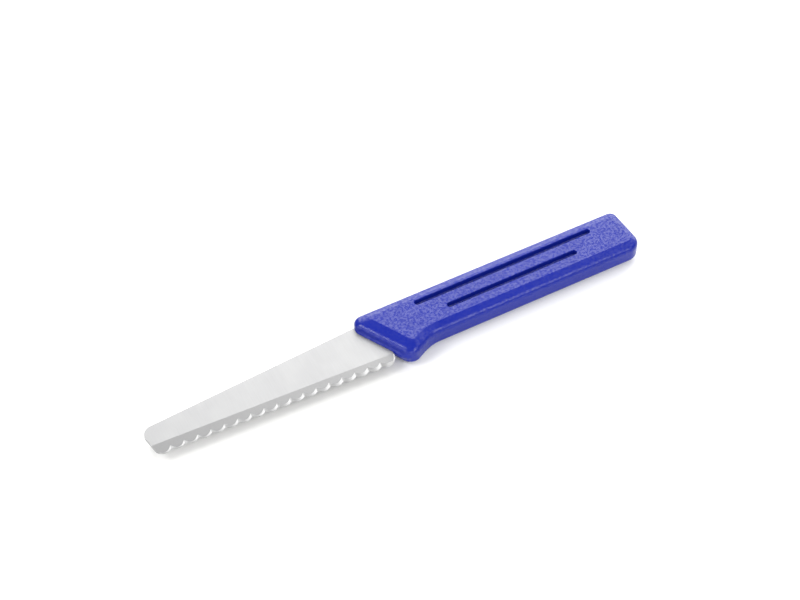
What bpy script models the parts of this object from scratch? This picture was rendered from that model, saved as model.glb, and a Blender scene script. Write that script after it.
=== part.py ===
"""Serrated breakfast knife: a stamped steel blade with its tang, and the handle moulded round it.

The knife lies on its side, as it lies on a table. X runs from the tip to the butt, +Y is the side
of the blade's back, -Y is the side of the cutting edge, and Z is the thickness. The origin is in
the middle of the knife's box, on the surface that the handle lies on. All sizes are in metres.
"""

import math

import bmesh
import bpy
import numpy as np

MM = 0.001

# The whole knife
KNIFE_LENGTH = 209.4 * MM
RUNNING_GAP = 0.3 * MM

# The handle, in plan
HANDLE_LENGTH = 120.9 * MM
GRIP_WIDTH = 21.2 * MM
GUARD_DEPTH = 4.1 * MM
GUARD_RADIUS = 4.5 * MM
GUARD_RISE_ANGLE = math.radians(26.6)
GUARD_HOLLOW_RADIUS = 17.0 * MM
FRONT_ANGLE = math.radians(60.9)
FRONT_CORNER_RADIUS = 3.2 * MM
BUTT_SLANT = math.radians(3.2)
BUTT_EDGE_RADIUS = 5.4 * MM
BUTT_BACK_RADIUS = 3.0 * MM

# The handle, in section
HANDLE_THICKNESS = 10.0 * MM
SHOULDER_ANGLE = math.radians(22.0)
SHOULDER_WIDTH = 2.1 * MM
SHOULDER_LEAD_RADIUS = 1.0 * MM
SIDE_RADIUS = 2.25 * MM
FRONT_INSET = 5.3 * MM
FRONT_NOSE = 0.9 * MM
NOSE_SHARE_OF_WALL = 0.6
BUTT_INSET = 3.2 * MM
FLAT_CORNER_RADIUS = 1.2 * MM

# The grip grooves, the same two on each face
GROOVE_WIDTH = 2.3 * MM
GROOVE_DEPTH = 2.4 * MM
BACK_GROOVE_OFFSET = 4.85 * MM
BACK_GROOVE_LENGTH = 78.8 * MM
BACK_GROOVE_TO_BUTT = 15.4 * MM
EDGE_GROOVE_OFFSET = -2.05 * MM
EDGE_GROOVE_LENGTH = 58.0 * MM
EDGE_GROOVE_TO_BUTT = 25.7 * MM

# The blade
BLADE_THICKNESS = 1.0 * MM
BACK_HEIGHT_AT_HANDLE = 8.02 * MM
BACK_ANGLE = math.radians(3.54)
TIP_END_ANGLE = math.radians(79.5)
TIP_BACK_RADIUS = 4.0 * MM
TIP_EDGE_RADIUS = 2.2 * MM
HEEL_SETBACK = 9.8 * MM
HEEL_RADIUS = 3.7 * MM
EDGE_DEPTH_AT_TIP = 8.97 * MM
EDGE_ANGLE = math.radians(2.16)

# The serration and the grinding
FIRST_NOTCH_TO_TIP = 6.95 * MM
NOTCH_PITCH = 5.3 * MM
NOTCH_DEPTH = 1.1 * MM
LOBE_STEPS = 12
LOBE_GRIND_ANGLE = math.radians(24.0)
EDGE_LAND = 0.12 * MM
BEVEL_WIDTH = 4.6 * MM
BEVEL_TAPER = math.radians(0.25)
BEVELLED_THICKNESS_AT_TIP = 0.22 * MM
BEVELLED_THICKNESS_AT_HEEL = 0.55 * MM
BEVEL_STEPS = 16
FIRST_LOBE_START = 0.2

# The tang, inside the handle
TANG_LENGTH = 78.0 * MM
TANG_BACK_SIDE = 5.6 * MM
TANG_EDGE_SIDE = -6.6 * MM
TANG_TAPER = 1.6 * MM
TANG_CORNER_RADIUS = 2.0 * MM
SHOULDER_SETBACK = 7.0 * MM
TANG_HOLE_DIAMETER = 6.0 * MM
TANG_HOLE_COUNT = 3
TANG_HOLE_PITCH = 22.0 * MM
FIRST_TANG_HOLE = 20.0 * MM
SLOT_OVERRUN = 13.0 * MM

# How finely curves are divided
CORNER_STEPS = 14
SHOULDER_LEAD_STEPS = 3
SECTION_STEPS = 8
HOLE_STEPS = 32
CORNER_ROOM_SHARE = 0.95
SMOOTH_BELOW_ANGLE = math.radians(32)

# Names, colours, roughness and metal of the two materials
BLADE_MATERIAL = ("brushed steel", (0.74, 0.74, 0.75), 0.28, 1.0)
HANDLE_MATERIAL = ("blue textured plastic", (0.035, 0.042, 0.42), 0.45, 0.0)

# Places that follow from the sizes above
TIP_X = -KNIFE_LENGTH / 2
BUTT_X = KNIFE_LENGTH / 2
FRONT_X = BUTT_X - HANDLE_LENGTH
HEEL_X = FRONT_X + HEEL_SETBACK
EDGE_LENGTH = HEEL_X - TIP_X
NOTCH_COUNT = 1 + int((EDGE_LENGTH - HEEL_RADIUS - FIRST_NOTCH_TO_TIP) / NOTCH_PITCH - 0.5)
BACK_SIDE_Y = (GRIP_WIDTH + GUARD_DEPTH) / 2
GUARD_Y = -BACK_SIDE_Y
GRIP_EDGE_Y = GUARD_Y + GUARD_DEPTH
AXIS_Y = (BACK_SIDE_Y + GRIP_EDGE_Y) / 2
MID_Z = HANDLE_THICKNESS / 2


def direction(angle):
    """The unit vector at an angle from +X."""
    return np.array([math.cos(angle), math.sin(angle)])


def left_of(vector):
    """The vector turned a quarter turn to the left."""
    return np.array([-vector[1], vector[0]])


def crossing(point_a, dir_a, point_b, dir_b):
    """The point where two lines in the plane cross."""
    sides = np.array([dir_a, -dir_b]).T
    along = np.linalg.solve(sides, point_b - point_a)
    return point_a + dir_a * along[0]


def arc_corner(before, corner, after, radius, steps):
    """Points of the arc that rounds one corner, no larger than the sides beside it have room for."""
    into = (corner - before) / np.linalg.norm(corner - before)
    out = (after - corner) / np.linalg.norm(after - corner)
    turn = math.atan2(into[0] * out[1] - into[1] * out[0], float(into @ out))
    side = math.copysign(1.0, turn)
    bend = math.tan(abs(turn) / 2)
    room = CORNER_ROOM_SHARE * min(np.linalg.norm(corner - before), np.linalg.norm(after - corner))
    radius = min(radius, room / bend)
    start = corner - into * radius * bend
    centre = start + left_of(into) * radius * side
    spoke = start - centre
    points = []
    for angle in np.linspace(0.0, turn, steps):
        cos_a, sin_a = math.cos(angle), math.sin(angle)
        turned = np.array([cos_a * spoke[0] - sin_a * spoke[1], sin_a * spoke[0] + cos_a * spoke[1]])
        points.append(centre + turned)
    return points


def rounded(corners, radii, steps=CORNER_STEPS):
    """A closed outline with each corner rounded by its own radius."""
    points = []
    for i, corner in enumerate(corners):
        points += arc_corner(corners[i - 1], corner, corners[(i + 1) % len(corners)], radii[i], steps)
    return np.array(points)


def inset_corners(corners, insets):
    """The corners after each side, from corner i to the next, has moved inwards by its own inset."""
    lines = []
    for i, corner in enumerate(corners):
        run = corners[(i + 1) % len(corners)] - corner
        run = run / np.linalg.norm(run)
        lines.append((corner + left_of(run) * insets[i], run))
    return [crossing(*lines[i - 1], *lines[i]) for i in range(len(corners))]


def closed_mesh(name, rings):
    """A solid skinned over rings with the same number of points, with a flat face at each end."""
    mesh = bmesh.new()
    loops = [[mesh.verts.new(tuple(point)) for point in ring] for ring in rings]
    for low, high in zip(loops[:-1], loops[1:]):
        for i, vert in enumerate(low):
            after = (i + 1) % len(low)
            mesh.faces.new((vert, low[after], high[after], high[i]))
    mesh.faces.new(loops[0][::-1])
    mesh.faces.new(loops[-1])
    uneven = [face for face in mesh.faces if len(face.verts) == 4]
    bmesh.ops.triangulate(mesh, faces=uneven)
    bmesh.ops.recalc_face_normals(mesh, faces=mesh.faces)
    return object_from(name, mesh)


def object_from(name, mesh):
    """A new object in the scene that holds a finished bmesh."""
    data = bpy.data.meshes.new(name)
    mesh.to_mesh(data)
    mesh.free()
    obj = bpy.data.objects.new(name, data)
    bpy.context.scene.collection.objects.link(obj)
    return obj


def ring_at(outline, z):
    """The outline's points, all at one height."""
    return np.column_stack([outline, np.full(len(outline), z)])


def prism(name, outline, low, high):
    """An outline pulled up from one height to another."""
    return closed_mesh(name, [ring_at(outline, low), ring_at(outline, high)])


def stadium(centre_x, centre_y, length, width, steps=CORNER_STEPS):
    """A slot outline along X with full round ends."""
    reach = length / 2 - width / 2
    points = []
    for end, first in ((1, -math.pi / 2), (-1, math.pi / 2)):
        for angle in np.linspace(first, first + math.pi, steps):
            points.append(np.array([centre_x + end * reach, centre_y]) + direction(angle) * width / 2)
    return np.array(points)


def circle(centre, radius, steps=HOLE_STEPS):
    """A round outline."""
    angles = np.linspace(0.0, 2 * math.pi, steps, endpoint=False)
    return np.array([centre + direction(angle) * radius for angle in angles])


def as_cutter(obj):
    """Marks an object as a shape that only cuts."""
    obj.hide_render = True
    obj.display_type = "WIRE"
    return obj


def cut(obj, cutter):
    """Takes a cutter's shape away from an object."""
    step = obj.modifiers.new("cut " + cutter.name, "BOOLEAN")
    step.operation = "DIFFERENCE"
    step.solver = "EXACT"
    step.object = as_cutter(cutter)


def finish(obj, name, colour, roughness, metallic):
    """Gives an object its material and smooth shading between its sharp edges."""
    material = bpy.data.materials.new(name)
    material.use_nodes = True
    shader = material.node_tree.nodes["Principled BSDF"]
    shader.inputs["Base Color"].default_value = (*colour, 1.0)
    shader.inputs["Roughness"].default_value = roughness
    shader.inputs["Metallic"].default_value = metallic
    obj.data.materials.append(material)
    obj.data.shade_smooth()
    obj.data.set_sharp_from_angle(angle=SMOOTH_BELOW_ANGLE)


def handle_corners():
    """The handle's plan before rounding: front at the back side, guard, grip, and both butt corners.

    The guard's round touches the front, the lowest line and the rise behind it, and the round at
    the butt touches the knife's full length, so both centres are found first.
    """
    down_front = direction(-FRONT_ANGLE)
    front = np.array([FRONT_X, BACK_SIDE_Y])
    guard_line = np.array([FRONT_X, GUARD_Y + GUARD_RADIUS])
    inner_front = front + left_of(down_front) * GUARD_RADIUS
    guard_centre = crossing(inner_front, down_front, guard_line, direction(0.0))
    rise = direction(GUARD_RISE_ANGLE)
    rise_start = guard_centre - left_of(rise) * GUARD_RADIUS
    grip_line = np.array([FRONT_X, GRIP_EDGE_Y])
    guard = crossing(front, down_front, rise_start, rise)
    hollow = crossing(rise_start, rise, grip_line, direction(0.0))

    butt_centre = np.array([BUTT_X - BUTT_EDGE_RADIUS, GRIP_EDGE_Y + BUTT_EDGE_RADIUS])
    up_butt = direction(math.pi / 2 + BUTT_SLANT)
    butt_start = butt_centre - left_of(up_butt) * BUTT_EDGE_RADIUS
    butt_edge = crossing(butt_start, up_butt, grip_line, direction(0.0))
    butt_back = crossing(butt_start, up_butt, front, direction(0.0))
    return [front, guard, hollow, butt_edge, butt_back]


def side_section():
    """How far the handle's side stands out from the flat's edge, and how far it drops there.

    A small fillet leads from the flat into a shoulder that slopes gently down, and a tighter
    rounding leads on into the upright wall. The drop never passes mid height.
    """
    lead = np.linspace(0.0, SHOULDER_ANGLE, SHOULDER_LEAD_STEPS)
    turn = np.linspace(SHOULDER_ANGLE, math.pi / 2, SECTION_STEPS)
    out = SHOULDER_LEAD_RADIUS * np.sin(lead)
    down = SHOULDER_LEAD_RADIUS * (1 - np.cos(lead))
    edge_out = out[-1] + SHOULDER_WIDTH * math.cos(SHOULDER_ANGLE)
    edge_down = down[-1] + SHOULDER_WIDTH * math.sin(SHOULDER_ANGLE)
    out = np.append(out, edge_out + SIDE_RADIUS * (np.sin(turn) - math.sin(SHOULDER_ANGLE)))
    down = np.append(down, edge_down + SIDE_RADIUS * (math.cos(SHOULDER_ANGLE) - np.cos(turn)))
    return out, down * min(1.0, MID_Z / down[-1])


def handle_body():
    """The handle's solid: flat faces, sloping shoulders, rounded edges and upright sides.

    A ring lies between the flat face's outline and the widest outline by its share of the
    section's whole width. At the front, the middle of the upright wall stands out as a nose, whose
    guard corner has a larger round, so that it too only touches the guard's lowest line.
    """
    corners = handle_corners()
    out, down = side_section()
    side = out[-1]
    radii = [FRONT_CORNER_RADIUS, GUARD_RADIUS, GUARD_HOLLOW_RADIUS, BUTT_EDGE_RADIUS, BUTT_BACK_RADIUS]
    outer = rounded(corners, radii)
    nose_corners = inset_corners(corners, [-FRONT_NOSE, 0.0, 0.0, 0.0, 0.0])
    larger = (nose_corners[1][1] - GUARD_Y) / (corners[1][1] - GUARD_Y)
    nose = rounded(nose_corners, [FRONT_CORNER_RADIUS, GUARD_RADIUS * larger, *radii[2:]])
    flat_radii = [
        FLAT_CORNER_RADIUS,
        FLAT_CORNER_RADIUS,
        GUARD_HOLLOW_RADIUS + side,
        max(BUTT_EDGE_RADIUS - side, FLAT_CORNER_RADIUS),
        max(BUTT_BACK_RADIUS - side, FLAT_CORNER_RADIUS),
    ]
    flat = rounded(inset_corners(corners, [FRONT_INSET, side, side, BUTT_INSET, side]), flat_radii)

    shares = out / side
    heights = MID_Z - down
    sides = [flat + (outer - flat) * share for share in shares]
    under = [ring_at(outline, MID_Z - height) for outline, height in zip(sides, heights)]
    over = [ring_at(outline, MID_Z + height) for outline, height in zip(sides[::-1], heights[::-1])]
    nose_half = NOSE_SHARE_OF_WALL * heights[-1]
    if nose_half < RUNNING_GAP:
        return closed_mesh("handle", under + over[1:])
    middle = [ring_at(nose, MID_Z - nose_half), ring_at(nose, MID_Z + nose_half)]
    return closed_mesh("handle", under + middle + over)


def back_line():
    """A point and a direction of the blade's back, which rises towards the handle."""
    at_handle = np.array([FRONT_X, AXIS_Y + BACK_HEIGHT_AT_HANDLE])
    return at_handle, direction(BACK_ANGLE)


def edge_line():
    """A point at the tip and the direction of the line through the crests of the lobes."""
    return np.array([TIP_X, AXIS_Y - EDGE_DEPTH_AT_TIP - NOTCH_DEPTH]), direction(-EDGE_ANGLE)


def lobe_out(share):
    """How far the edge stands out from the notch line, at a share of the way across one lobe.

    The depth times one less the square of the distance from the crest: round at its crest, and
    meeting its neighbour in a sharp notch.
    """
    return NOTCH_DEPTH * (1 - (2 * share - 1) ** 2)


def edge_profile():
    """Distances from the tip along the edge, with how far the edge lies inside the crest line.

    The first lobe is cut short by the tip, and the last runs out at its crest.
    """
    along = []
    inside = []
    for index in range(-1, NOTCH_COUNT):
        start = FIRST_LOBE_START if index < 0 else 0.0
        end = 0.5 if index == NOTCH_COUNT - 1 else 1.0
        steps = max(1, round((end - start) * LOBE_STEPS))
        for share in np.linspace(start, end, steps + 1)[0 if index < 0 else 1:]:
            along.append(FIRST_NOTCH_TO_TIP + NOTCH_PITCH * (index + share))
            inside.append(NOTCH_DEPTH - lobe_out(share))
    return np.array(along), np.array(inside)


def edge_points():
    """The edge's points in plan, from the tip to the crest of the last lobe."""
    crest, run = edge_line()
    return [crest + run * along + left_of(run) * inside for along, inside in zip(*edge_profile())]


def tang_corners():
    """The hidden part of the blade, from the heel round the tang to the back, before rounding."""
    end_x = HEEL_X + TANG_LENGTH
    shoulder_x = FRONT_X + SHOULDER_SETBACK
    back, along_back = back_line()
    shoulder = crossing(back, along_back, np.array([shoulder_x, 0.0]), direction(math.pi / 2))
    return [
        np.array([HEEL_X, AXIS_Y + TANG_EDGE_SIDE]),
        np.array([end_x, AXIS_Y + TANG_EDGE_SIDE + TANG_TAPER]),
        np.array([end_x, AXIS_Y + TANG_BACK_SIDE - TANG_TAPER]),
        np.array([shoulder_x, AXIS_Y + TANG_BACK_SIDE]),
        shoulder,
    ]


def tang_hole_centres():
    """The middles of the holes that the handle's plastic fills."""
    first = FRONT_X + FIRST_TANG_HOLE
    middle = AXIS_Y + (TANG_BACK_SIDE + TANG_EDGE_SIDE) / 2
    return [np.array([first + i * TANG_HOLE_PITCH, middle]) for i in range(TANG_HOLE_COUNT)]


def blade_outline():
    """The blade and tang in plan, counter-clockwise from the tip end of the back."""
    back, along_back = back_line()
    crest, along_edge = edge_line()
    teeth = edge_points()
    up_end = direction(math.pi - TIP_END_ANGLE)
    tip_centre_line = np.array([TIP_X + TIP_BACK_RADIUS, 0.0])
    inner_back = back - left_of(along_back) * TIP_BACK_RADIUS
    tip_centre = crossing(inner_back, along_back, tip_centre_line, direction(math.pi / 2))
    end_start = tip_centre + left_of(up_end) * TIP_BACK_RADIUS
    tip_back = crossing(back, along_back, end_start, up_end)
    tip_edge = crossing(teeth[0], teeth[1] - teeth[0], end_start, up_end)

    heel = crossing(crest, along_edge, np.array([HEEL_X, 0.0]), direction(math.pi / 2))
    tang = tang_corners()

    points = arc_corner(back, tip_back, tip_edge, TIP_BACK_RADIUS, CORNER_STEPS)
    points += arc_corner(tip_back, tip_edge, teeth[0], TIP_EDGE_RADIUS, CORNER_STEPS)
    points += teeth
    points += arc_corner(teeth[-1], heel, tang[0], HEEL_RADIUS, CORNER_STEPS)
    points.append(tang[0])
    points += arc_corner(tang[0], tang[1], tang[2], TANG_CORNER_RADIUS, CORNER_STEPS)
    points += arc_corner(tang[1], tang[2], tang[3], TANG_CORNER_RADIUS, CORNER_STEPS)
    points += tang[3:]
    return np.array(points)


def bevel_cutter():
    """The wide bevel that the grinding takes off one face, weaker towards the handle."""
    edge, run = edge_line()
    across = direction(-EDGE_ANGLE - BEVEL_TAPER)
    inwards = left_of(run)
    top = MID_Z + BLADE_THICKNESS / 2
    over = BEVEL_WIDTH
    sections = []
    for along in np.linspace(-over, EDGE_LENGTH + over, BEVEL_STEPS + 1):
        share = min(max(along / EDGE_LENGTH, 0.0), 1.0)
        left = BEVELLED_THICKNESS_AT_TIP * (1 - share) + BEVELLED_THICKNESS_AT_HEEL * share
        crest = edge + run * along
        inside = edge + inwards * BEVEL_WIDTH + across * along
        width = float((inside - crest) @ inwards)
        slope = (BLADE_THICKNESS - left) / width
        outside = inside - inwards * (width + over)
        past = inside + inwards * over
        high = top + BLADE_THICKNESS
        low = top - slope * (width + over)
        rise = top + slope * over
        sections.append([(*past, rise), (*inside, top), (*outside, low), (*outside, high), (*past, high)])
    return closed_mesh("bevel_grind", sections)


def lobe_cutter():
    """The steeper grinding that follows the lobes and leaves a valley at each notch.

    Every section across the edge is a straight line at the grinding's angle, and it meets the
    outline at the height of the edge's land.
    """
    crest, run = edge_line()
    inwards = left_of(run)
    along, inside = edge_profile()
    over = HEEL_RADIUS
    along = np.concatenate([[along[0] - over], along, [EDGE_LENGTH + over]])
    inside = np.concatenate([inside[:1], inside, inside[-1:]])
    slope = math.tan(LOBE_GRIND_ANGLE)
    land = MID_Z - BLADE_THICKNESS / 2 + EDGE_LAND
    reach = NOTCH_DEPTH + (BLADE_THICKNESS + RUNNING_GAP) / slope
    high = land + slope * reach + RUNNING_GAP
    sections = []
    for distance, depth in zip(along, inside):
        inner = crest + run * distance + inwards * reach
        outer = crest + run * distance - inwards * over
        inner_low = land + slope * (reach - depth)
        outer_low = land - slope * (over + depth)
        sections.append([(*inner, inner_low), (*outer, outer_low), (*outer, high), (*inner, high)])
    return closed_mesh("lobe_grind", sections)


def build_blade():
    """The stamped, ground and serrated blade with its tang."""
    low = MID_Z - BLADE_THICKNESS / 2
    high = MID_Z + BLADE_THICKNESS / 2
    blade = prism("blade", blade_outline(), low, high)
    for index, centre in enumerate(tang_hole_centres()):
        hole = circle(centre, TANG_HOLE_DIAMETER / 2)
        cut(blade, prism(f"tang_hole_{index}", hole, low - RUNNING_GAP, high + RUNNING_GAP))
    cut(blade, bevel_cutter())
    cut(blade, lobe_cutter())
    finish(blade, *BLADE_MATERIAL)
    return blade


def slot_cutter():
    """The room for the tang inside the handle, less the plastic that fills the tang's holes."""
    low = MID_Z - BLADE_THICKNESS / 2 - RUNNING_GAP
    high = MID_Z + BLADE_THICKNESS / 2 + RUNNING_GAP
    tang = tang_corners()
    back, along_back = back_line()
    heel_foot = np.array([tang[0][0], GUARD_Y - SLOT_OVERRUN])
    front_foot = np.array([TIP_X, GUARD_Y - SLOT_OVERRUN])
    front_top = crossing(back, along_back, front_foot, direction(math.pi / 2))
    corners = [front_foot, heel_foot, *tang, front_top]
    grown = inset_corners(corners, [-RUNNING_GAP] * len(corners))
    points = list(grown[:3])
    points += arc_corner(grown[2], grown[3], grown[4], TANG_CORNER_RADIUS + RUNNING_GAP, CORNER_STEPS)
    points += arc_corner(grown[3], grown[4], grown[5], TANG_CORNER_RADIUS + RUNNING_GAP, CORNER_STEPS)
    points += grown[5:]
    slot = prism("tang_slot", np.array(points), low, high)
    for index, centre in enumerate(tang_hole_centres()):
        peg = circle(centre, TANG_HOLE_DIAMETER / 2 - RUNNING_GAP)
        cut(slot, prism(f"plastic_peg_{index}", peg, low - RUNNING_GAP, high + RUNNING_GAP))
    return slot


def groove_cutters():
    """The two grip grooves of each face."""
    rows = (
        ("back", BACK_GROOVE_OFFSET, BACK_GROOVE_LENGTH, BACK_GROOVE_TO_BUTT),
        ("edge", EDGE_GROOVE_OFFSET, EDGE_GROOVE_LENGTH, EDGE_GROOVE_TO_BUTT),
    )
    over = GROOVE_WIDTH
    for name, offset, length, to_butt in rows:
        centre_x = BUTT_X - to_butt - length / 2
        outline = stadium(centre_x, AXIS_Y + offset, length, GROOVE_WIDTH)
        yield prism(f"{name}_groove_upper", outline, HANDLE_THICKNESS - GROOVE_DEPTH, HANDLE_THICKNESS + over)
        yield prism(f"{name}_groove_lower", outline, -over, GROOVE_DEPTH)


def build_handle():
    """The one-shot moulded handle, with the tang's room inside it."""
    handle = handle_body()
    cut(handle, slot_cutter())
    for groove in groove_cutters():
        cut(handle, groove)
    finish(handle, *HANDLE_MATERIAL)
    return handle


def main():
    """Clears the scene and builds both pieces."""
    for obj in list(bpy.data.objects):
        bpy.data.objects.remove(obj)
    build_blade()
    build_handle()


main()
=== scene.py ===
"""Looks of the serrated breakfast knife: its steel blade and its moulded handle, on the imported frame.

Everything is in metres in the frame's own axes: +X from the tip to the butt, +Y towards the blade's
back, +Z up. Both pieces are surfaces worked out as whole numpy arrays, and they take the place of the
plain solids, whose sizes they repeat.
"""

from __future__ import annotations

import logging
import math
from collections.abc import Callable
from dataclasses import dataclass
from enum import Enum

import bmesh
import bpy
import numpy as np
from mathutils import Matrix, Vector
from mathutils.geometry import tessellate_polygon

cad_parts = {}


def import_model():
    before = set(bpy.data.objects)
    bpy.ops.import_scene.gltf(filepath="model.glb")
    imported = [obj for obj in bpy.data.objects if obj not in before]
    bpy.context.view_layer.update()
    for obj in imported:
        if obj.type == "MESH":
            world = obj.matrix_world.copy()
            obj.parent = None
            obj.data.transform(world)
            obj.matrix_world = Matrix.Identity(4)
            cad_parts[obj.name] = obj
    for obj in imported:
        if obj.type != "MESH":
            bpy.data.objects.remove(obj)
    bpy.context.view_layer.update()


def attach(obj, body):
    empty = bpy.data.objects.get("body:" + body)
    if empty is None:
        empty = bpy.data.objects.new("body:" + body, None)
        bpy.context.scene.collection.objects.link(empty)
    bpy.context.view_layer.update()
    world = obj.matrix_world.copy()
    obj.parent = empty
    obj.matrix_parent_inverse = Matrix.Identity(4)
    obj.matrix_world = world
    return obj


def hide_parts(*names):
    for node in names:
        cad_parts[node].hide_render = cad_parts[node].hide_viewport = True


LOG = logging.getLogger("knife")
MM = 0.001
GROUND_AND_HIGHLIGHT = "ground"
CORNER_ROOM = 0.95
Array = np.ndarray
Colour = tuple[float, float, float, float]
Stretch = tuple[float, float, float]


# Shader expressions


class Value:
    """A number socket of a node tree, with which sums are written as Python expressions."""

    def __init__(self, tree: Tree, socket: bpy.types.NodeSocket) -> None:
        """Wraps a socket.

        Args:
            tree: The tree that new nodes are added to.
            socket: The output that carries the number.
        """
        self.tree = tree
        self.socket = socket

    def _math(self, operation: str, *values: object) -> Value:
        """Adds one Math node.

        Args:
            operation: The Math node's operation.
            values: Its inputs, numbers or other values.

        Returns:
            The node's result.
        """
        made = self.tree.node("ShaderNodeMath", {"operation": operation}, dict(enumerate(values)))
        return Value(self.tree, made.outputs[0])

    def __add__(self, other: object) -> Value:
        """The sum."""
        return self._math("ADD", self, other)

    __radd__ = __add__

    def __sub__(self, other: object) -> Value:
        """The difference."""
        return self._math("SUBTRACT", self, other)

    def __rsub__(self, other: object) -> Value:
        """The difference, taken from a number."""
        return self._math("SUBTRACT", other, self)

    def __mul__(self, other: object) -> Value:
        """The product."""
        return self._math("MULTIPLY", self, other)

    __rmul__ = __mul__

    def step(self, low: float, high: float) -> Value:
        """A smooth rise from 0 at low to 1 at high.

        Args:
            low: Where the rise starts. It may lie above high, and the rise is then a fall.
            high: Where the rise ends.

        Returns:
            The value between 0 and 1.
        """
        settings = {"interpolation_type": "SMOOTHSTEP", "clamp": True}
        inputs = {"Value": self, "From Min": low, "From Max": high}
        return Value(self.tree, self.tree.node("ShaderNodeMapRange", settings, inputs).outputs[0])


class Tree:
    """The node tree of one material, to which nodes are added."""

    NOISE_FALLOFF = 0.55

    def __init__(self, name: str) -> None:
        """Makes a material with a Principled shader.

        Args:
            name: The material's name.
        """
        self.material = bpy.data.materials.new(name)
        self.material.use_nodes = True
        self.nodes = self.material.node_tree.nodes
        self.links = self.material.node_tree.links
        self.shader = self.nodes["Principled BSDF"]
        self.places = self.node("ShaderNodeTexCoord", {}, {}).outputs["Object"]

    def node(self, kind: str, settings: dict[str, object], inputs: dict[object, object]) -> bpy.types.Node:
        """Adds a node.

        Args:
            kind: The node's type.
            settings: Its properties, which are set first.
            inputs: Values, sockets or Value objects for its inputs, by name or by index.

        Returns:
            The new node.
        """
        made = self.nodes.new(kind)
        for key, value in settings.items():
            setattr(made, key, value)
        for key, value in inputs.items():
            self.put(made.inputs[key], value)
        return made

    def put(self, socket: bpy.types.NodeSocket, value: object) -> None:
        """Sets or links one input.

        Args:
            socket: The input.
            value: A number, a tuple, a socket or a Value.
        """
        if isinstance(value, Value):
            value = value.socket
        if isinstance(value, bpy.types.NodeSocket):
            self.links.new(value, socket)
        else:
            socket.default_value = value

    def axes(self) -> tuple[Value, Value, Value]:
        """The place on the piece, in metres.

        Returns:
            X, Y and Z.
        """
        parts = self.node("ShaderNodeSeparateXYZ", {}, {0: self.places})
        return tuple(Value(self, parts.outputs[i]) for i in range(3))

    def noise(self, size: float, detail: float = 2.0, stretch: Stretch = (1.0, 1.0, 1.0)) -> Value:
        """A cloudy pattern between 0 and 1.

        Args:
            size: The size of its patches in metres.
            detail: How many finer layers it has.
            stretch: How many times smaller the patches are along X, Y and Z.

        Returns:
            The pattern.
        """
        placed = self.node("ShaderNodeMapping", {}, {"Vector": self.places, "Scale": stretch}).outputs[0]
        inputs = {"Vector": placed, "Scale": 1.0 / size, "Detail": detail, "Roughness": self.NOISE_FALLOFF}
        return Value(self, self.node("ShaderNodeTexNoise", {}, inputs).outputs[0])

    def mark(self, name: str) -> Value:
        """A number that the piece's mesh carries on its faces.

        Args:
            name: The attribute's name.

        Returns:
            The number.
        """
        return Value(self, self.node("ShaderNodeAttribute", {"attribute_name": name}, {}).outputs["Fac"])

    def blend(self, share: object, first: object, second: object) -> bpy.types.NodeSocket:
        """Mixes two colours.

        Args:
            share: How much of the second, from 0 to 1.
            first: The first colour.
            second: The second colour.

        Returns:
            The mixed colour's socket.
        """
        return self.node("ShaderNodeMix", {"data_type": "RGBA"}, {0: share, 6: first, 7: second}).outputs[2]

    def bump(self, height: Value, depth: float) -> bpy.types.NodeSocket:
        """Turns a height into a relief.

        Args:
            height: The height, from 0 to 1.
            depth: What a height of 1 stands for, in metres.

        Returns:
            The normal's socket.
        """
        return self.node("ShaderNodeBump", {}, {"Height": height, "Distance": depth}).outputs[0]

    def finish(self, **inputs: object) -> bpy.types.Material:
        """Sets the shader's inputs.

        Args:
            inputs: Values or links by the socket's name, with underscores for spaces.

        Returns:
            The material.
        """
        for key, value in inputs.items():
            self.put(self.shader.inputs[key.replace("_", " ")], value)
        return self.material


# Finishes


@dataclass(frozen=True)
class GrainedPlastic:
    """Ultramarine polypropylene with the fine grain of a spark-eroded mould, whose tops glint."""

    colour: Colour = (0.005, 0.014, 0.232, 1.0)
    deep: Colour = (0.003, 0.010, 0.20, 1.0)
    clouding: float = 0.35
    speckle: float = 0.3
    roughness: float = 0.32
    rough_grain: float = 0.10
    rough_cloud: float = 0.06
    grain: float = 0.85 * MM
    finer: float = 0.45
    finer_share: float = 0.4
    cloud: float = 9 * MM
    contrast: tuple[float, float] = (0.3, 0.7)
    relief: float = 0.08 * MM
    specular: float = 0.10
    skin: float = 0.08
    glint: float = 0.6
    coat_roughness: float = 0.22

    def make(self) -> bpy.types.Material:
        """Builds the material.

        Returns:
            The material.
        """
        tree = Tree("blue grained plastic")
        coarse = tree.noise(self.grain, detail=1.0)
        fine = tree.noise(self.grain * self.finer)
        cloud = tree.noise(self.cloud)
        depth = cloud.step(*self.contrast) * self.clouding + fine * self.speckle
        height = coarse * (1 - self.finer_share) + fine * self.finer_share
        return tree.finish(
            Base_Color=tree.blend(depth, self.colour, self.deep),
            Roughness=self.roughness + self.rough_grain * (fine - 0.5) + self.rough_cloud * (cloud - 0.5),
            Normal=tree.bump(height, self.relief),
            Specular_IOR_Level=self.specular,
            Coat_Weight=coarse.step(*self.contrast) * self.glint + self.skin,
            Coat_Roughness=self.coat_roughness,
        )


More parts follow.
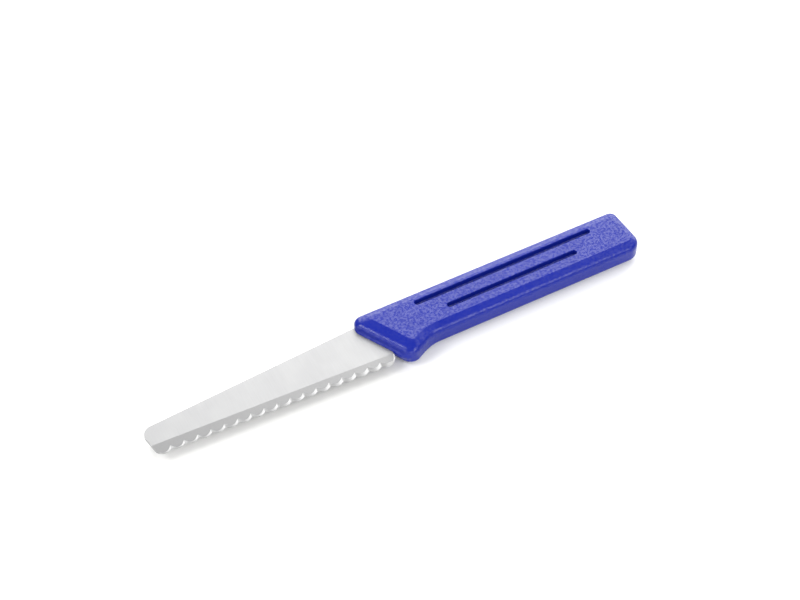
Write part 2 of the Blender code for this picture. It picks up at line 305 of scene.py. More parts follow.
@dataclass(frozen=True)
class SatinSteel:
    """Stainless sheet, finely ground across the blade. The lobes' grind and a band round the heel get a
    lighter colour, partly for the freshly ground steel and partly as painted highlight where these edges
    catch the light.

    The heel is given by its round's centre in X and Y and its radius, and the underside by its
    height, in metres.
    """

    heel: tuple[float, float, float]
    underside: float
    colour: Colour = (0.325, 0.325, 0.325, 1.0)
    shade: Colour = (0.305, 0.305, 0.308, 1.0)
    clouding: float = 0.5
    streaks: float = 0.3
    contrast: tuple[float, float] = (0.35, 0.65)
    roughness: float = 0.50
    rough_lines: float = 0.12
    rough_cloud: float = 0.05
    line: float = 0.5 * MM
    line_detail: float = 3.0
    line_stretch: Stretch = (1.0, 0.04, 1.0)
    cloud: float = 14 * MM
    relief: float = 0.004 * MM
    # Lighter colour of the ground faces and the heel band: freshly ground steel and painted highlight.
    ground_and_highlight_colour: Colour = (0.59, 0.59, 0.59, 1.0)
    smoother: float = 0.15
    rim: float = 0.55 * MM
    soft: float = 0.12 * MM
    lift: tuple[float, float] = (0.012 * MM, 0.06 * MM)

    def heel_highlight_band(self, tree: Tree) -> Value:
        """The band along the heel's round that gets a painted highlight for its rounded edge: far from its
        centre, past it in X and below it in Y.

        It fades in over half the radius along X, and starts just above the underside, which
        wasn't ground.

        Args:
            tree: The material's tree.

        Returns:
            1 on the band and 0 elsewhere.
        """
        centre_x, centre_y, radius = self.heel
        x, y, z = tree.axes()
        x = x - centre_x
        y = y - centre_y
        inner = radius - self.rim
        band = (x * x + y * y).step((inner - self.soft) ** 2, (inner + self.soft) ** 2)
        quarter = x.step(0.0, radius / 2) * y.step(self.soft, -self.soft)
        return band * quarter * (z - self.underside).step(*self.lift)

    def make(self) -> bpy.types.Material:
        """Builds the material.

        Returns:
            The material.
        """
        tree = Tree("satin steel")
        lines = tree.noise(self.line, self.line_detail, self.line_stretch)
        cloud = tree.noise(self.cloud)
        # Painted highlight: the marked grind faces and the heel band take the lighter colour.
        ground = 1 - (1 - tree.mark(GROUND_AND_HIGHLIGHT)) * (1 - self.heel_highlight_band(tree))
        depth = cloud.step(*self.contrast) * self.clouding + lines * self.streaks
        uneven = self.rough_lines * (lines - 0.5) + self.rough_cloud * (cloud - 0.5)
        return tree.finish(
            Base_Color=tree.blend(ground, tree.blend(depth, self.colour, self.shade), self.ground_and_highlight_colour),
            Roughness=self.roughness + uneven - self.smoother * ground,
            Metallic=1.0,
            Normal=tree.bump(lines, self.relief),
        )


@dataclass(frozen=True)
class PaperFloor:
    """The plain white paper that the knife lies on."""

    colour: Colour = (0.80, 0.80, 0.79, 1.0)
    shade: Colour = (0.79, 0.79, 0.78, 1.0)
    clouding: float = 0.2
    cloud: float = 60 * MM
    roughness: float = 0.9

    def make(self) -> bpy.types.Material:
        """Builds the material.

        Returns:
            The material.
        """
        tree = Tree("white paper")
        depth = tree.noise(self.cloud) * self.clouding
        colour = tree.blend(depth, self.colour, self.shade)
        return tree.finish(Base_Color=colour, Roughness=self.roughness)


# Shapes in the plane


def heading(angle: float) -> Array:
    """The unit vector at an angle from +X."""
    return np.array([math.cos(angle), math.sin(angle)])


def left_of(vector: Array) -> Array:
    """The vector, or each vector of a list, turned a quarter turn to the left."""
    return np.stack([-vector[..., 1], vector[..., 0]], axis=-1)


def crossing(point_a: Array, way_a: Array, point_b: Array, way_b: Array) -> Array:
    """Finds where two lines in the plane cross.

    Args:
        point_a: A point of the first line.
        way_a: Its direction.
        point_b: A point of the second line.
        way_b: Its direction.

    Returns:
        The point that both lines hold.
    """
    along = np.linalg.solve(np.array([way_a, -way_b]).T, point_b - point_a)
    return point_a + way_a * along[0]


def fillet(before: Array, corner: Array, after: Array, radius: float, count: int) -> Array:
    """Rounds one corner: the centre lies to the turning side, and the points turn about it evenly.

    Args:
        before: The corner before this one.
        corner: The corner.
        after: The corner after it.
        radius: The arc's radius, which is made smaller where the sides have no room for it.
        count: The number of points.

    Returns:
        The arc's points.
    """
    into = (corner - before) / np.linalg.norm(corner - before)
    out = (after - corner) / np.linalg.norm(after - corner)
    turn = math.atan2(into[0] * out[1] - into[1] * out[0], float(into @ out))
    bend = math.tan(abs(turn) / 2)
    room = CORNER_ROOM * min(np.linalg.norm(corner - before), np.linalg.norm(after - corner))
    radius = min(radius, room / bend)
    spoke = -left_of(into) * radius * math.copysign(1.0, turn)
    centre = corner - into * radius * bend - spoke
    angle = np.linspace(0.0, turn, count)[:, None]
    return centre + spoke * np.cos(angle) + left_of(spoke) * np.sin(angle)


def rounded(corners: list[Array], radii: list[float], arc: int) -> Array:
    """A closed outline with rounded corners, with as many points on every arc.

    Args:
        corners: The corners, counter-clockwise.
        radii: The radius at each corner.
        arc: Points on each arc.

    Returns:
        The outline's points.
    """
    last = len(corners)
    return np.concatenate(
        [fillet(corners[i - 1], corners[i], corners[(i + 1) % last], radii[i], arc) for i in range(last)]
    )


def inset(corners: list[Array], depths: list[float]) -> list[Array]:
    """Moves each side of an outline inwards by its own depth.

    Args:
        corners: The corners, counter-clockwise.
        depths: How far the side from corner i to the next moves.

    Returns:
        The new corners.
    """
    lines = []
    for i, corner in enumerate(corners):
        run = corners[(i + 1) % len(corners)] - corner
        run = run / np.linalg.norm(run)
        lines.append((corner + left_of(run) * depths[i], run))
    return [crossing(*lines[i - 1], *lines[i]) for i in range(len(corners))]


def stadium(centre: Array, reach: float, radius: Array, arc: int) -> Array:
    """Slots along X with full round ends, one for each radius: half circles joined by straight sides.

    Args:
        centre: The slot's middle.
        reach: From the middle to each end's centre.
        radius: The half widths, one for each ring.
        arc: Points on each end.

    Returns:
        The rings' points, counter-clockwise, as rings by points by two.
    """
    turn = np.linspace(-math.pi / 2, math.pi / 2, arc)
    ends = np.repeat([reach, -reach], arc)
    x = centre[0] + ends + radius[:, None] * np.concatenate([np.cos(turn), -np.cos(turn)])
    y = centre[1] + radius[:, None] * np.concatenate([np.sin(turn), -np.sin(turn)])
    return np.stack([x, y], axis=-1)


def at_height(plan: Array, z: float) -> Array:
    """Points in plan with one height added."""
    return np.column_stack([plan, np.full(len(plan), z)])


# Meshes


@dataclass
class Skin:
    """Points and faces that are gathered into one mesh."""

    weld: float = 0.0002 * MM

    def __post_init__(self) -> None:
        """Starts with nothing."""
        self.points: list[Array] = []
        self.faces: list[tuple[int, ...]] = []
        self.count = 0

    def add(self, points: Array) -> Array:
        """Adds points.

        Args:
            points: Points, as rows of three, in any shape before that.

        Returns:
            Their numbers, in the same shape.
        """
        flat = np.asarray(points, float).reshape(-1, 3)
        numbers = np.arange(self.count, self.count + len(flat))
        self.points.append(flat)
        self.count += len(flat)
        return numbers.reshape(np.shape(points)[:-1])

    def sheet(self, numbers: Array, closed: bool = False, turned: bool = False) -> None:
        """Skins a grid of points with quads.

        Args:
            numbers: The grid's point numbers, rows by columns.
            closed: Whether the last column meets the first.
            turned: Whether the faces point the other way.
        """
        grid = np.concatenate([numbers, numbers[:, :1]], axis=1) if closed else numbers
        quads = np.stack([grid[:-1, :-1], grid[:-1, 1:], grid[1:, 1:], grid[1:, :-1]], axis=-1)
        quads = quads.reshape(-1, 4)
        self.faces += [tuple(quad) for quad in (quads[:, ::-1] if turned else quads).tolist()]

    def flat(self, loops: list[Array], turned: bool = False) -> None:
        """Fills a flat outline that may have holes.

        Args:
            loops: The points of the outline and of each hole, all at one height.
            turned: Whether the faces point down.
        """
        rows = np.concatenate(loops)
        numbers = self.add(rows)
        outlines = [[Vector((x, y, 0.0)) for x, y, _ in loop] for loop in loops]
        tris = np.array(tessellate_polygon(outlines))
        a, b, c = (rows[tris[:, i], :2] for i in range(3))
        up = (b - a)[:, 0] * (c - a)[:, 1] - (b - a)[:, 1] * (c - a)[:, 0] > 0
        tris = np.where((up == turned)[:, None], tris[:, ::-1], tris)
        self.faces += [tuple(tri) for tri in numbers[tris].tolist()]

    def mesh(self, name: str, material: bpy.types.Material, crease: float = 30.0) -> bpy.types.Object:
        """Makes the object: its sheets are joined where they meet, and it is smooth but for its creases.

        Args:
            name: The object's name.
            material: Its finish.
            crease: The angle in degrees past which an edge stays sharp.

        Returns:
            The object, linked to the scene.
        """
        data = bpy.data.meshes.new(name)
        data.from_pydata(np.concatenate(self.points).tolist(), [], self.faces)
        work = bmesh.new()
        work.from_mesh(data)
        bmesh.ops.remove_doubles(work, verts=work.verts, dist=self.weld)
        bmesh.ops.dissolve_degenerate(work, edges=work.edges, dist=self.weld)
        work.to_mesh(data)
        work.free()
        data.materials.append(material)
        data.shade_smooth()
        data.set_sharp_from_angle(angle=math.radians(crease))
        obj = bpy.data.objects.new(name, data)
        bpy.context.scene.collection.objects.link(obj)
        return obj


# The knife's sub-assemblies


@dataclass
class Layout:
    """Where the knife's two pieces meet, in metres."""

    length: float = 209.4 * MM
    thickness: float = 10.0 * MM
    handle_length: float = 120.9 * MM
    grip_width: float = 21.2 * MM
    guard_depth: float = 4.1 * MM
    front_angle: float = math.radians(60.9)
    heel_setback: float = 9.8 * MM
    sheet: float = 1.0 * MM

    @property
    def tip_x(self) -> float:
        """The tip's end."""
        return -self.length / 2

    @property
    def butt_x(self) -> float:
        """The handle's end."""
        return self.length / 2

    @property
    def front_x(self) -> float:
        """The handle's front, at its back side."""
        return self.butt_x - self.handle_length

    @property
    def heel_x(self) -> float:
        """The blade's heel."""
        return self.front_x + self.heel_setback

    @property
    def back_y(self) -> float:
        """The handle's back side."""
        return (self.grip_width + self.guard_depth) / 2

    @property
    def axis_y(self) -> float:
        """The middle of the grip."""
        return self.back_y - self.grip_width / 2

    @property
    def mid_z(self) -> float:
        """The middle of the thickness."""
        return self.thickness / 2

    @property
    def sheet_low(self) -> float:
        """The height of the blade's lower face."""
        return self.mid_z - self.sheet / 2

    @property
    def sheet_top(self) -> float:
        """The height of the blade's upper face."""
        return self.mid_z + self.sheet / 2


@dataclass
class GripGroove:
    """One round-ended groove of the grip, with a softened lip and a rounded floor."""

    offset: float
    length: float
    to_butt: float
    width: float = 2.3 * MM
    depth: float = 2.4 * MM
    lip: float = 0.22 * MM
    floor: float = 0.7 * MM
    margin: float = 0.352 * MM
    floor_reach: float = 0.92
    turns: int = 7
    arc: int = 25

    def section(self) -> tuple[Array, Array]:
        """The groove's section from its lip to its floor.

        A flat margin leads to the lip, a quarter circle that falls into the wall. The floor's corner
        is a quarter circle too, and the section ends at the last share of the half width.

        Returns:
            The distance inwards from the wall's line, and the depth, at each step.
        """
        turn = np.linspace(0.0, math.pi / 2, self.turns)
        lip_in = -self.lip * (1 - np.sin(turn))
        lip_down = self.lip * (1 - np.cos(turn))
        floor_in = self.floor * (1 - np.cos(turn))
        floor_down = self.depth - self.floor * (1 - np.sin(turn))
        last = self.width / 2 * self.floor_reach
        inwards = np.concatenate([[-self.margin], lip_in, floor_in, [last]])
        down = np.concatenate([[0.0], lip_down, floor_down, [self.depth]])
        return inwards, down

    def cut_into(self, skin: Skin, place: Layout, top: bool) -> Array:
        """Adds the groove's skin.

        Args:
            skin: The skin that it belongs to.
            place: The knife's layout.
            top: Whether it is on the upper face.

        Returns:
            The points of its outermost ring.
        """
        inwards, down = self.section()
        centre = np.array([place.butt_x - self.to_butt - self.length / 2, place.axis_y + self.offset])
        rings = stadium(centre, (self.length - self.width) / 2, self.width / 2 - inwards, self.arc)
        height = place.thickness - down if top else down
        z = np.broadcast_to(height[:, None, None], (*rings.shape[:2], 1))
        numbers = skin.add(np.concatenate([rings, z], axis=-1))
        skin.sheet(numbers, closed=True, turned=not top)
        bottom = numbers[-1].tolist()
        skin.faces.append(tuple(bottom if top else bottom[::-1]))
        return np.concatenate([rings, z], axis=-1)[0]


@dataclass
class Handle:
    """The moulded handle: a rounded slab with a slanted front, a guard and two grooves on each face."""

    place: Layout
    guard_radius: float = 4.5 * MM
    guard_rise: float = math.radians(26.6)
    guard_hollow: float = 17.0 * MM
    front_corner: float = 3.2 * MM
    butt_slant: float = math.radians(3.2)
    butt_edge_corner: float = 5.4 * MM
    butt_back_corner: float = 3.0 * MM
    shoulder_angle: float = math.radians(22.0)
    shoulder_width: float = 2.1 * MM
    lead_radius: float = 1.0 * MM
    side_radius: float = 2.25 * MM
    front_inset: float = 5.3 * MM
    butt_inset: float = 3.2 * MM
    nose: float = 0.9 * MM
    nose_corner: float = 4.15 * MM
    nose_turns: int = 13
    flat_corner: float = 1.2 * MM
    arc: int = 48
    lead_turns: int = 9
    turns: int = 26
    border: float = 0.06 * MM
    crease: float = 40.0

    def corners(self) -> list[Array]:
        """The plan before rounding.

        The guard's round touches the front, its lowest line and the rise behind it, and the
        round at the butt touches the knife's full length, so both centres are found first.

        Returns:
            Front at the back side, guard, hollow behind it, and both butt corners.
        """
        place = self.place
        down_front = heading(-place.front_angle)
        front = np.array([place.front_x, place.back_y])
        lowest = np.array([place.front_x, self.guard_radius - place.back_y])
        beside = front + left_of(down_front) * self.guard_radius
        centre = crossing(beside, down_front, lowest, heading(0.0))
        rise = heading(self.guard_rise)
        rise_start = centre - left_of(rise) * self.guard_radius
        grip = np.array([place.front_x, place.back_y - place.grip_width])
        up_butt = heading(math.pi / 2 + self.butt_slant)
        butt_round = np.array([place.butt_x - self.butt_edge_corner, grip[1] + self.butt_edge_corner])
        butt_start = butt_round - left_of(up_butt) * self.butt_edge_corner
        return [
            front,
            crossing(front, down_front, rise_start, rise),
            crossing(rise_start, rise, grip, heading(0.0)),
            crossing(butt_start, up_butt, grip, heading(0.0)),
            crossing(butt_start, up_butt, front, heading(0.0)),
        ]

    def section(self) -> tuple[Array, Array]:
        """The side's section, from the flat's edge to the upright wall.

        A small fillet leads from the flat into a shoulder that slopes gently down, and a tighter
        rounding leads on into the wall: both are arcs, joined by a straight line.

        Returns:
            How far the side stands out from the flat's edge, and how far it drops, at each step.
        """
        lead = np.linspace(0.0, self.shoulder_angle, self.lead_turns)
        turn = np.linspace(self.shoulder_angle, math.pi / 2, self.turns)
        out = self.lead_radius * np.sin(lead)
        down = self.lead_radius * (1 - np.cos(lead))
        edge_out = out[-1] + self.shoulder_width * math.cos(self.shoulder_angle)
        edge_down = down[-1] + self.shoulder_width * math.sin(self.shoulder_angle)
        round_out = edge_out + self.side_radius * (np.sin(turn) - math.sin(self.shoulder_angle))
        round_down = edge_down + self.side_radius * (math.cos(self.shoulder_angle) - np.cos(turn))
        return np.append(out, round_out), np.append(down, round_down)

    def rings(self) -> Array:
        """The sides, as rings from the upper flat to the lower one.

        A ring lies between the flat's outline and the widest outline by its share of the
        section's whole width. On the upright wall the front swells out to a nose, by a raised
        cosine of the height, and its guard corner's larger round keeps to the guard's lowest line.

        Returns:
            The points, as rings by points by three.
        """
        place = self.place
        corners = self.corners()
        out, down = self.section()
        side = out[-1]
        half = place.mid_z - down[-1]
        wall = np.linspace(half, -half, self.nose_turns)[1:-1]
        butt = [self.butt_edge_corner, self.butt_back_corner]
        outer = rounded(corners, [self.front_corner, self.guard_radius, self.guard_hollow, *butt], self.arc)
        narrow = [self.flat_corner, self.flat_corner, self.guard_hollow + side]
        narrow += [max(radius - side, self.flat_corner) for radius in butt]
        drawn_in = inset(corners, [self.front_inset, side, side, self.butt_inset, side])
        flat = rounded(drawn_in, narrow, self.arc)
        swollen = inset(corners, [-self.nose, 0.0, 0.0, 0.0, 0.0])
        larger = (swollen[1][1] + place.back_y) / (corners[1][1] + place.back_y)
        radii = [self.nose_corner, self.guard_radius * larger, self.guard_hollow, *butt]
        nose = rounded(swollen, radii, self.arc)
        swell = (1 - np.cos(np.linspace(0.0, 2 * math.pi, self.nose_turns)[1:-1])) / 2
        plan = flat + (outer - flat) * (out / side)[:, None, None]
        middle = outer + (nose - outer) * swell[:, None, None]
        plan = np.concatenate([plan, middle, plan[::-1]])
        z = np.concatenate([place.thickness - down, place.mid_z + wall, down[::-1]])
        return np.concatenate([plan, np.broadcast_to(z[:, None, None], (*plan.shape[:2], 1))], -1)

    def build(self, material: bpy.types.Material, grooves: list[GripGroove]) -> bpy.types.Object:
        """Makes the handle. A narrow flat border keeps the shading of each face even up to its edge.

        Args:
            material: Its finish.
            grooves: The grooves that each face has.

        Returns:
            The object.
        """
        skin = Skin()
        rings = self.rings()
        skin.sheet(skin.add(rings), closed=True, turned=True)
        for top in (True, False):
            edge = rings[0] if top else rings[-1]
            along = (np.roll(edge, -1, axis=0) - np.roll(edge, 1, axis=0))[:, :2]
            inwards = left_of(along) / np.linalg.norm(along, axis=1)[:, None]
            drawn = edge + np.column_stack([inwards * self.border, np.zeros(len(edge))])
            skin.sheet(skin.add(np.stack([edge, drawn])), closed=True, turned=not top)
            holes = [groove.cut_into(skin, self.place, top) for groove in grooves]
            skin.flat([drawn, *holes], turned=not top)
        obj = skin.mesh("handle_moulding", material, self.crease)
        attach(obj, "root")
        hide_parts("handle")
        LOG.info("handle moulding: %d faces", len(obj.data.polygons))
        return obj


@dataclass
class Blade:
    """The blade: ground bevel, scalloped edge, blunt tip, heel and tang.

    The first and last lobe's ends are given in pitches from the first notch.
    """

    place: Layout
    back_height: float = 8.02 * MM
    back_angle: float = math.radians(3.54)
    tip_angle: float = math.radians(79.5)
    tip_back_corner: float = 4.0 * MM
    tip_edge_corner: float = 2.2 * MM
    heel_corner: float = 3.7 * MM
    edge_depth: float = 8.97 * MM
    edge_angle: float = math.radians(2.16)
    first_notch: float = 6.95 * MM
    pitch: float = 5.3 * MM
    notches: int = 17
    notch_depth: float = 1.1 * MM
    lobe_angle: float = math.radians(24.0)
    land: float = 0.12 * MM
    bevel_width: float = 4.6 * MM
    bevel_taper: float = math.radians(0.25)
    thin_at_tip: float = 0.22 * MM
    thin_at_heel: float = 0.55 * MM
    tang_end: float = 78.0 * MM
    tang_back: float = 5.6 * MM
    tang_edge: float = -6.6 * MM
    tang_taper: float = 1.6 * MM
    tang_corner: float = 2.0 * MM
    shoulder: float = 7.0 * MM
    hole_radius: float = 3.0 * MM
    hole_pitch: float = 22.0 * MM
    first_hole: float = 20.0 * MM
    holes: int = 3
    shoulder_lean: float = 0.06 * MM
    first_lobe: float = -0.8
    lobe_steps: int = 24
    nose_arc: int = 81
    lower_arc: int = 24
    heel_arc: int = 32
    tang_arc: int = 12
    hole_sides: int = 48
    # Faces within these leans, and walls near the heel, get the lighter steel colour: painted highlight,
    # partly freshly ground steel.
    ground_and_highlight_lean: tuple[float, float, float] = (15.0, 60.0, 120.0)
    heel_highlight_reach: float = 5.0 * MM
    least_step: float = 0.0008 * MM
    crease: float = 5.0

    @property
    def last_lobe(self) -> float:
        """The last lobe's crest, from where it runs out straight."""
        return self.notches - 0.5

    def edge(self) -> tuple[Array, Array, Array]:
        """The line through the crests of the lobes.

        Returns:
            Its point at the tip, its direction, and the direction inwards.
        """
        start = np.array([self.place.tip_x, self.place.axis_y - self.edge_depth - self.notch_depth])
        run = heading(-self.edge_angle)
        return start, run, left_of(run)

    def dip(self, along: Array) -> Array:
        """How far the edge lies inside the crest line.

        Across one lobe it is the notch's depth times the square of the distance from the crest, in
        half pitches, so that neighbouring lobes meet in a sharp notch. The last lobe runs out
        straight from its crest.

        Args:
            along: Distances from the tip.

        Returns:
            The depth at each.
        """
        share = np.clip((along - self.first_notch) / self.pitch, self.first_lobe, self.last_lobe)
        across = 2 * (share - np.floor(share)) - 1
        return self.notch_depth * across**2

    def bevel(self, along: Array) -> tuple[Array, Array]:
        """The bevel's width and slope at distances from the tip."""
        share = np.clip(along / (self.place.heel_x - self.place.tip_x), 0.0, 1.0)
        left = self.thin_at_tip * (1 - share) + self.thin_at_heel * share
        width = self.bevel_width - math.tan(self.bevel_taper) * along
        return width, (self.place.sheet - left) / width

    def bevel_line(self, along: Array) -> Array:
        """The bevel's inner line, inwards from the crest line, at distances from the tip."""
        return self.bevel(along)[0]

    def grind_line(self, along: Array) -> Array:
        """Where the grind meets the bevel, inwards from the crest line, at distances from the tip."""
        width, slope = self.bevel(along)
        steep = math.tan(self.lobe_angle)
        return (steep * self.dip(along) + self.place.sheet - self.land - slope * width) / (steep - slope)

    def on_columns(self, x: Array, line: Callable[[Array], Array]) -> Array:
        """Where a line that is given along the edge crosses columns across the knife.

        Along and across the edge line are a turned pair of axes, so each is found from the other,
        starting on the edge line. The turn is small and four rounds settle it.

        Args:
            x: The columns' places.
            line: The distance inwards from the crest line at distances from the tip.

        Returns:
            The places in Y.
        """
        start, run, inwards = self.edge()
        across = np.zeros_like(x)
        for _ in range(4):
            along = (x - start[0] - across * inwards[0]) / run[0]
            across = line(along)
        return start[1] + along * run[1] + across * inwards[1]

    def height(self, x: Array, y: Array) -> Array:
        """The upper face's height: the lowest of the sheet's face, the bevel and the lobes' grind.

        The bevel falls evenly from its inner line to the thickness that it leaves at the crest
        line, and the grind falls to the edge's land along straight lines square to the edge.

        Args:
            x: Places along the knife.
            y: Places across the knife.

        Returns:
            The heights.
        """
        start, run, inwards = self.edge()
        along = (x - start[0]) * run[0] + (y - start[1]) * run[1]
        across = (x - start[0]) * inwards[0] + (y - start[1]) * inwards[1]
        top = self.place.sheet_top
        width, slope = self.bevel(along)
        land = self.place.sheet_low + self.land
        grind = land + math.tan(self.lobe_angle) * (across - self.dip(along))
        return np.minimum(np.minimum(top, top - slope * (width - across)), grind)

    def lobes(self) -> Array:
        """The scalloped edge, from the round at the tip to the last crest."""
        start, run, inwards = self.edge()
        count = round((self.last_lobe - self.first_lobe) * self.lobe_steps) + 1
        along = self.first_notch + self.pitch * (np.arange(count) / self.lobe_steps + self.first_lobe)
        return start + run * along[:, None] + inwards * self.dip(along)[:, None]

    def tip(self, teeth: Array) -> tuple[Array, Array]:
        """The rounds of the tip's two corners.

        Args:
            teeth: The scalloped edge.

        Returns:
            The round at the back and the round at the edge.
        """
        tip_back, tip_edge = self.tip_corners(teeth)
        nose = fillet(self.back_point(0.0), tip_back, tip_edge, self.tip_back_corner, self.nose_arc)
        return nose, fillet(tip_back, tip_edge, teeth[0], self.tip_edge_corner, self.lower_arc)

    def near_line(self) -> Array:
        """The outline from the tip's foremost point round the lower corner and the lobes to the heel.

        Returns:
            Points with X rising.
        """
        place = self.place
        start, run, _ = self.edge()
        teeth = self.lobes()
        heel = crossing(start, run, np.array([place.heel_x, 0.0]), heading(math.pi / 2))
        root = np.array([place.heel_x, place.axis_y + self.tang_edge])
        rounded_heel = fillet(teeth[-1], heel, root, self.heel_corner, self.heel_arc)
        points = np.concatenate([*self.tip(teeth), teeth, rounded_heel])
        return points[int(np.argmin(points[:, 0])) :]

    def far_line(self) -> Array:
        """The outline from the tip's foremost point along the back, down the shoulder and the tang.

        Returns:
            Points with X rising.
        """
        place = self.place
        nose, _ = self.tip(self.lobes())
        nose = nose[: int(np.argmin(nose[:, 0])) + 1][::-1]
        top = self.back_point(self.shoulder)
        tang_y = place.axis_y + self.tang_back
        return np.concatenate([nose, [top, (top[0] + self.shoulder_lean, tang_y), (place.heel_x, tang_y)]])

    def heel_round(self) -> tuple[float, float, float]:
        """The centre of the heel's round, in X and Y, and its radius."""
        end = self.near_line()[-1]
        return float(end[0]) - self.heel_corner, float(end[1]), self.heel_corner

    def back_point(self, behind: float) -> Array:
        """A point of the back line, at a distance along X behind the handle's front."""
        height = self.back_height + behind * math.tan(self.back_angle)
        return np.array([self.place.front_x + behind, self.place.axis_y + height])

    def tip_corners(self, teeth: Array) -> tuple[Array, Array]:
        """The tip's two corners before rounding.

        The end line touches the round at the back, whose foremost point gives the knife's length.

        Args:
            teeth: The scalloped edge, whose first stretch is run out to the end line.

        Returns:
            The corner at the back and the corner at the edge.
        """
        up_end = heading(math.pi - self.tip_angle)
        along_back = heading(self.back_angle)
        inner = self.back_point(0.0) - left_of(along_back) * self.tip_back_corner
        centre_line = np.array([self.place.tip_x + self.tip_back_corner, 0.0])
        centre = crossing(inner, along_back, centre_line, heading(math.pi / 2))
        end_start = centre + left_of(up_end) * self.tip_back_corner
        tip_back = crossing(self.back_point(0.0), along_back, end_start, up_end)
        return tip_back, crossing(teeth[0], teeth[1] - teeth[0], end_start, up_end)

    def tang(self) -> list[Array]:
        """The tang's outline and its holes in plan, from the heel's root round to the back's side."""
        place = self.place
        end_x = place.heel_x + self.tang_end
        root = np.array([place.heel_x, place.axis_y + self.tang_edge])
        low_end = np.array([end_x, root[1] + self.tang_taper])
        high_end = np.array([end_x, place.axis_y + self.tang_back - self.tang_taper])
        start = np.array([place.heel_x, place.axis_y + self.tang_back])
        outline = np.concatenate(
            [
                [root],
                fillet(root, low_end, high_end, self.tang_corner, self.tang_arc),
                fillet(low_end, high_end, start, self.tang_corner, self.tang_arc),
                [start],
            ]
        )
        turn = np.linspace(0.0, 2 * math.pi, self.hole_sides + 1)[:-1, None]
        ring = self.hole_radius * np.concatenate([np.cos(turn), np.sin(turn)], axis=1)
        middle = place.axis_y + (self.tang_back + self.tang_edge) / 2
        first = place.front_x + self.first_hole
        return [outline] + [ring + (first + i * self.hole_pitch, middle) for i in range(self.holes)]

    def mark_ground_and_highlight(self, data: bpy.types.Mesh) -> None:
        """Marks the faces that get the lighter steel colour, which is partly freshly ground steel and
        partly painted highlight: the lobes' grind and the wall round the heel.

        A face's lean is the angle between its normal and straight up. The grind leans more than
        the bevel does and less than a wall, and a wall leans less than the lower face.

        Args:
            data: The blade's mesh.
        """
        normals = np.empty(len(data.polygons) * 3)
        data.polygons.foreach_get("normal", normals)
        middles = np.empty(len(data.polygons) * 3)
        data.polygons.foreach_get("center", middles)
        lean = np.degrees(np.arccos(np.clip(normals[2::3], -1.0, 1.0)))
        bevel, grind, wall = self.ground_and_highlight_lean
        from_heel = self.place.heel_x - middles[0::3]
        # The walls near the heel get a painted highlight for its rounded edge.
        heel = (from_heel >= 0.0) & (from_heel < self.heel_highlight_reach) & (lean >= grind) & (lean < wall)
        marked = heel | ((lean > bevel) & (lean < grind))
        layer = data.attributes.new(GROUND_AND_HIGHLIGHT, "FLOAT", "FACE")
        layer.data.foreach_set("value", marked.astype(np.float32))

    def build(self, material: bpy.types.Material) -> bpy.types.Object:
        """Makes the blade: columns across it from tip to heel, then the flat tang.

        The columns have points on the edge, the grind's inner line, the bevel's inner line, a line
        that ends at the tang's root, and the back.

        Args:
            material: Its finish.

        Returns:
            The object.
        """
        place = self.place
        low_z, top_z = place.sheet_low, place.sheet_top
        near, far = self.near_line(), self.far_line()
        x = np.unique(np.concatenate([near[:, 0], far[:, 0]]))
        apart = np.diff(x) > self.least_step
        x = x[np.concatenate([[True], apart[:-1], [True]])]
        low = np.interp(x, near[:, 0], near[:, 1])
        high = np.interp(x, far[:, 0], far[:, 1])
        grind = np.clip(self.on_columns(x, self.grind_line), low, high)
        bevel = np.clip(self.on_columns(x, self.bevel_line), grind, high)
        root = place.axis_y + self.tang_edge
        share = (root - bevel[-1]) / (high[-1] - bevel[-1])
        y = np.stack([low, grind, bevel, bevel + (high - bevel) * share, high])
        plan = np.stack([np.broadcast_to(x, y.shape), y], axis=-1)
        upper = np.concatenate([plan, self.height(*np.moveaxis(plan, -1, 0))[..., None]], axis=-1)
        lower = np.concatenate([plan[[0, 3, 4]], np.full((3, len(x), 1), low_z)], axis=-1)
        skin = Skin()
        skin.sheet(skin.add(upper))
        skin.sheet(skin.add(lower), turned=True)
        skin.sheet(skin.add(np.stack([lower[0], upper[0]])))
        skin.sheet(skin.add(np.stack([upper[-1], lower[-1]])))
        heel = skin.add(np.concatenate([lower[:2, -1], upper[:4, -1][::-1]]))
        skin.faces.append(tuple(heel.tolist()))
        outline, *holes = self.tang()
        for z, turned in ((top_z, False), (low_z, True)):
            skin.flat([at_height(loop, z) for loop in (outline, *holes)], turned)
        skin.sheet(skin.add(np.stack([at_height(outline, low_z), at_height(outline, top_z)])))
        for hole in holes:
            wall = np.stack([at_height(hole, top_z), at_height(hole, low_z)])
            skin.sheet(skin.add(wall), closed=True)
        obj = skin.mesh("blade_sheet", material, self.crease)
        self.mark_ground_and_highlight(obj.data)
        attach(obj, "root")
        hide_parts("blade")
        LOG.info("blade sheet: %d faces", len(obj.data.polygons))
        return obj


# The studio


class Softbox(Enum):
    """The softboxes: azimuth from +Y, elevation, width and height in degrees, and radiance."""

    BEHIND = (28.3, 43.0, 64.0, 28.0, 4.8)
    LOW = (38.0, 17.0, 84.0, 24.0, 3.6)
    RIGHT = (99.0, 46.0, 28.0, 34.0, 1.45)
    NEAR = (161.0, 42.0, 34.0, 40.0, 4.3)
    FRONT = (203.0, 14.0, 60.0, 24.0, 2.3)
    LEFT = (262.0, 20.0, 30.0, 36.0, 2.2)
    HIGH = (284.0, 50.0, 20.0, 24.0, 8.5)


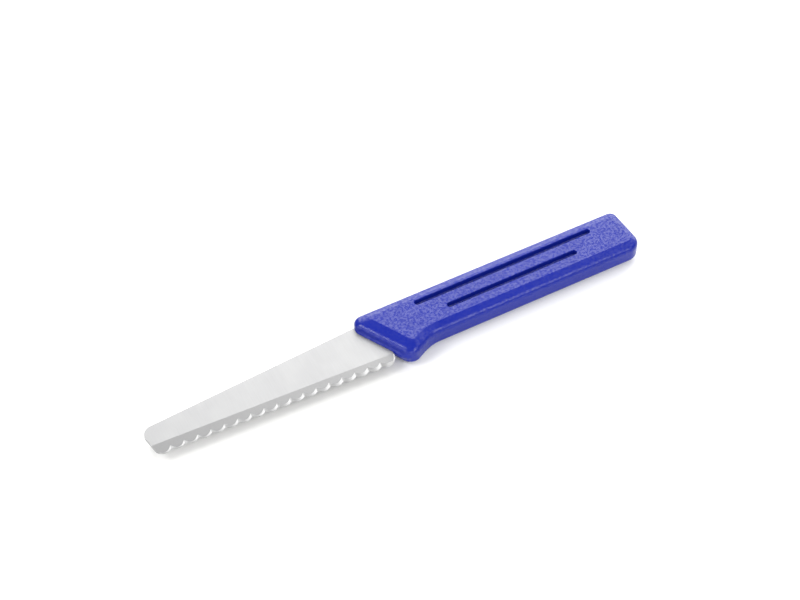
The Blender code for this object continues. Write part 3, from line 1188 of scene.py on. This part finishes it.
@dataclass
class Studio:
    """The floor, the softboxes, the room's even light and the camera."""

    target: tuple[float, float, float] = (10.24 * MM, 18.22 * MM, 0.0)
    elevation: float = math.radians(50.5)
    turn: float = math.radians(28.3)
    distance: float = 722.7 * MM
    lens: float = 83.25
    sensor: float = 36.0
    nearest: float = 0.01
    lamp_distance: float = 1.6
    room_light: float = 0.45
    floor_reach: float = 4.0
    floor_drop: float = 0.05 * MM
    floor_lines: int = 9

    def floor(self, material: bpy.types.Material) -> bpy.types.Object:
        """Makes the floor.

        Args:
            material: Its finish.

        Returns:
            The floor.
        """
        skin = Skin()
        line = np.linspace(-self.floor_reach, self.floor_reach, self.floor_lines)
        x, y = np.meshgrid(line, line)
        skin.sheet(skin.add(np.stack([x, y, np.full_like(x, -self.floor_drop)], axis=-1)))
        obj = skin.mesh("floor", material)
        return obj

    def lamp(self, box: Softbox) -> None:
        """Hangs one softbox that faces the knife.

        Args:
            box: Which softbox.
        """
        azimuth, elevation, wide, high, radiance = box.value
        a, e = math.radians(azimuth), math.radians(elevation)
        way = Vector((math.sin(a) * math.cos(e), math.cos(a) * math.cos(e), math.sin(e)))
        data = bpy.data.lights.new(box.name.lower(), "AREA")
        data.shape = "RECTANGLE"
        data.size, data.size_y = (
            2 * self.lamp_distance * math.tan(math.radians(angle / 2)) for angle in (wide, high)
        )
        data.energy = radiance * math.pi * data.size * data.size_y
        lamp = bpy.data.objects.new(box.name.lower(), data)
        lamp.location = way * self.lamp_distance
        lamp.rotation_mode = "QUATERNION"
        lamp.rotation_quaternion = way.to_track_quat("Z", "Y")
        bpy.context.scene.collection.objects.link(lamp)

    def surroundings(self) -> None:
        """Sets the room's even light."""
        world = bpy.data.worlds.new("room")
        world.use_nodes = True
        background = world.node_tree.nodes["Background"]
        background.inputs["Color"].default_value = (1.0, 1.0, 1.0, 1.0)
        background.inputs["Strength"].default_value = self.room_light
        bpy.context.scene.world = world

    def camera(self) -> None:
        """Places the camera where the photographer stood."""
        away = Vector((math.sin(self.turn), math.cos(self.turn), 0.0))
        ahead = away * math.cos(self.elevation) - Vector((0.0, 0.0, math.sin(self.elevation)))
        data = bpy.data.cameras.new("camera")
        data.sensor_width = self.sensor
        data.lens = self.lens
        data.clip_start = self.nearest
        camera = bpy.data.objects.new("camera", data)
        camera.location = Vector(self.target) - ahead * self.distance
        camera.rotation_mode = "QUATERNION"
        camera.rotation_quaternion = (-ahead).to_track_quat("Z", "Y")
        bpy.context.scene.collection.objects.link(camera)
        bpy.context.scene.camera = camera
        bpy.context.scene.view_settings.view_transform = "Standard"


def main() -> None:
    """Builds the knife and its studio."""
    logging.basicConfig(level=logging.INFO, format="%(name)s: %(message)s")
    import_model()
    place = Layout()
    grooves = [
        GripGroove(offset=4.85 * MM, length=78.8 * MM, to_butt=15.4 * MM),
        GripGroove(offset=-2.05 * MM, length=58.0 * MM, to_butt=25.7 * MM),
    ]
    Handle(place).build(GrainedPlastic().make(), grooves)
    blade = Blade(place)
    blade.build(SatinSteel(blade.heel_round(), place.sheet_low).make())
    studio = Studio()
    studio.floor(PaperFloor().make())
    for box in Softbox:
        studio.lamp(box)
    studio.surroundings()
    studio.camera()
    LOG.info("sizes written")


if __name__ == "__main__":
    main()
